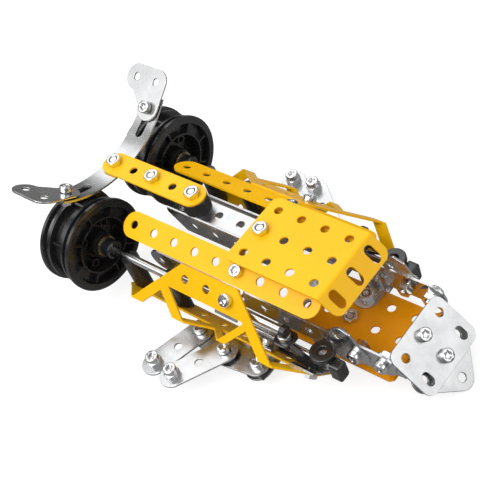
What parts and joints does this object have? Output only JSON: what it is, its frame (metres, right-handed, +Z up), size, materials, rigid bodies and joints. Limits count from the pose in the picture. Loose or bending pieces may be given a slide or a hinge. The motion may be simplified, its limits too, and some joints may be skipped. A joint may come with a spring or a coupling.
{
  "type": "construction kit space jet",
  "caption": "Space jet built from perforated metal strips and plates, with folded truss sides, sweeping wing strips, a curved tail with fins and two wheel rims on long rods.",
  "frame": {"origin": "centre of the deck plate's hole grid, on the deck's top face", "axes": "+X towards the nose, +Y to the left side, +Z up out of the deck"},
  "size_m": [0.2038, 0.1314, 0.0801],
  "materials": {
    "yellow_paint": "gloss",
    "zinc_steel": "satin",
    "bright_steel": "polished",
    "black_plastic": "satin",
    "rubber": "matte",
    "brass": "polished"
  },
  "bodies": {
    "hull": {"axle_posts_left": "black_plastic", "axle_posts_right": "black_plastic", "belly_bracket_left": "zinc_steel", "belly_bracket_right": "zinc_steel", "belly_plate": "yellow_paint", "cannon_barrel_left": "zinc_steel", "cannon_barrel_right": "zinc_steel", "cannon_holder_left": "black_plastic", "cannon_holder_right": "black_plastic", "cannon_muzzle_left": "black_plastic", "cannon_muzzle_right": "black_plastic", "cannon_ring_left": "black_plastic", "cannon_ring_right": "black_plastic", "deck_plate": "yellow_paint", "front_belly_strap": "zinc_steel", "hull_bolts": "bright_steel", "hull_nuts": "bright_steel", "keel_strip_left": "zinc_steel", "keel_strip_right": "zinc_steel", "nose_plate": "zinc_steel", "nose_triangle": "zinc_steel", "nose_yoke": "zinc_steel", "side_frame_left": "yellow_paint", "side_frame_right": "yellow_paint", "side_strip_left": "yellow_paint", "side_strip_right": "yellow_paint", "side_triangle_left": "zinc_steel", "side_triangle_right": "zinc_steel", "spar_block_left": "black_plastic", "spar_block_right": "black_plastic", "spar_bracket_left": "zinc_steel", "spar_bracket_right": "zinc_steel", "spine_channel": "zinc_steel", "tail_arc_strip": "zinc_steel", "tail_rib_strip": "black_plastic", "tail_spacer": "rubber", "tail_strip": "yellow_paint", "upper_former": "zinc_steel", "wing_root_left": "zinc_steel", "wing_root_right": "zinc_steel", "wing_spar": "zinc_steel"},
    "wheel_left": {"wheel_rim_left": "black_plastic", "wheel_bush_left": "brass", "axle_collars_left": "black_plastic", "axle_rod_left": "bright_steel"},
    "wing_rear_left": {"wing_rear_left": "zinc_steel", "wing_tip_bolt_rear_left": "bright_steel"},
    "wing_front_left": {"wing_front_left": "zinc_steel", "wing_tip_bolt_front_left": "bright_steel"},
    "fin_left": {"tail_fin_left": "zinc_steel"},
    "wheel_right": {"wheel_rim_right": "black_plastic", "wheel_bush_right": "brass", "axle_collars_right": "black_plastic", "axle_rod_right": "bright_steel"},
    "wing_rear_right": {"wing_rear_right": "zinc_steel", "wing_tip_bolt_rear_right": "bright_steel"},
    "wing_front_right": {"wing_front_right": "zinc_steel", "wing_tip_bolt_front_right": "bright_steel"},
    "fin_right": {"tail_fin_right": "zinc_steel"}
  },
  "joints": [
    {"name": "wheel_left_spin", "type": "hinge", "parent": "hull", "child": "wheel_left", "pos_m": [-0.1005, 0.0294, -0.019], "axis": [1, 0, 0], "continuous": true},
    {"name": "fin_left_turn", "type": "hinge", "parent": "hull", "child": "fin_left", "pos_m": [-0.10795, 0.0301, 0.01416], "axis": [0, -0.5678, 0.8231], "range_deg": [-20, 20]},
    {"name": "wheel_right_spin", "type": "hinge", "parent": "hull", "child": "wheel_right", "pos_m": [-0.1005, -0.0294, -0.019], "axis": [1, 0, 0], "continuous": true},
    {"name": "fin_right_turn", "type": "hinge", "parent": "hull", "child": "fin_right", "pos_m": [-0.10795, -0.0301, 0.01416], "axis": [0, 0.5678, 0.8231], "range_deg": [-20, 20]},
    {"name": "wing_rear_left_sweep", "type": "hinge", "parent": "hull", "child": "wing_rear_left", "pos_m": [-0.04255, 0.0363, -0.0435], "axis": [0, 0, 1], "range_deg": [-8, 14]},
    {"name": "wing_front_left_sweep", "type": "hinge", "parent": "hull", "child": "wing_front_left", "pos_m": [-0.02405, 0.0402, -0.0435], "axis": [0, 0, 1], "range_deg": [-30, 0]},
    {"name": "wing_rear_right_sweep", "type": "hinge", "parent": "hull", "child": "wing_rear_right", "pos_m": [-0.04255, -0.0363, -0.0435], "axis": [0, 0, 1], "range_deg": [-24, 0]},
    {"name": "wing_front_right_sweep", "type": "hinge", "parent": "hull", "child": "wing_front_right", "pos_m": [-0.02405, -0.0402, -0.0435], "axis": [0, 0, 1], "range_deg": [0, 26]}
  ]
}
